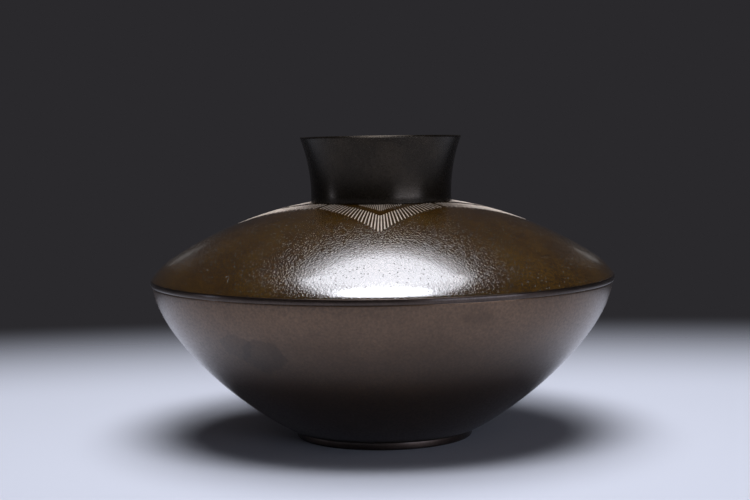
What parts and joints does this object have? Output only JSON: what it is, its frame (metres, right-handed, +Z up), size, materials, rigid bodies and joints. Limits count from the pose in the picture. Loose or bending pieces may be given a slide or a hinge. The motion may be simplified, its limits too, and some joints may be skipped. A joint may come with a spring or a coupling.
{
  "type": "bronze flower vase",
  "caption": "Low lens-shaped bronze vase with a flared collar, an equator band and a foot ring, standing free on a flat surface.",
  "frame": {"origin": "on the vase's vertical axis, in the plane that the foot ring stands on", "axes": "+Z up along the vase's axis, -Y towards the front of the picture, +X to its right"},
  "size_m": [0.3, 0.3, 0.1949],
  "materials": {
    "bowl_bronze": "satin grey-brown patina with a fine grain",
    "shoulder_bronze": "granular cast skin, golden-brown patina, waxed",
    "band_bronze": "smooth turned, dark brown patina",
    "neck_bronze": "satin near-black brown patina",
    "foot_bronze": "smooth turned, dark reddish-brown patina",
    "base_bronze": "plain turned, brown patina",
    "braze": "brazing filler, lightly toned"
  },
  "bodies": {
    "root": {"bowl": "bowl_bronze", "shoulder": "shoulder_bronze", "equator_band": "band_bronze", "neck": "neck_bronze", "foot_ring": "foot_bronze", "base_plate": "base_bronze", "neck_braze": "braze", "upper_seam_braze": "braze", "lower_seam_braze": "braze", "foot_braze": "braze", "base_braze": "braze"}
  },
  "joints": []
}
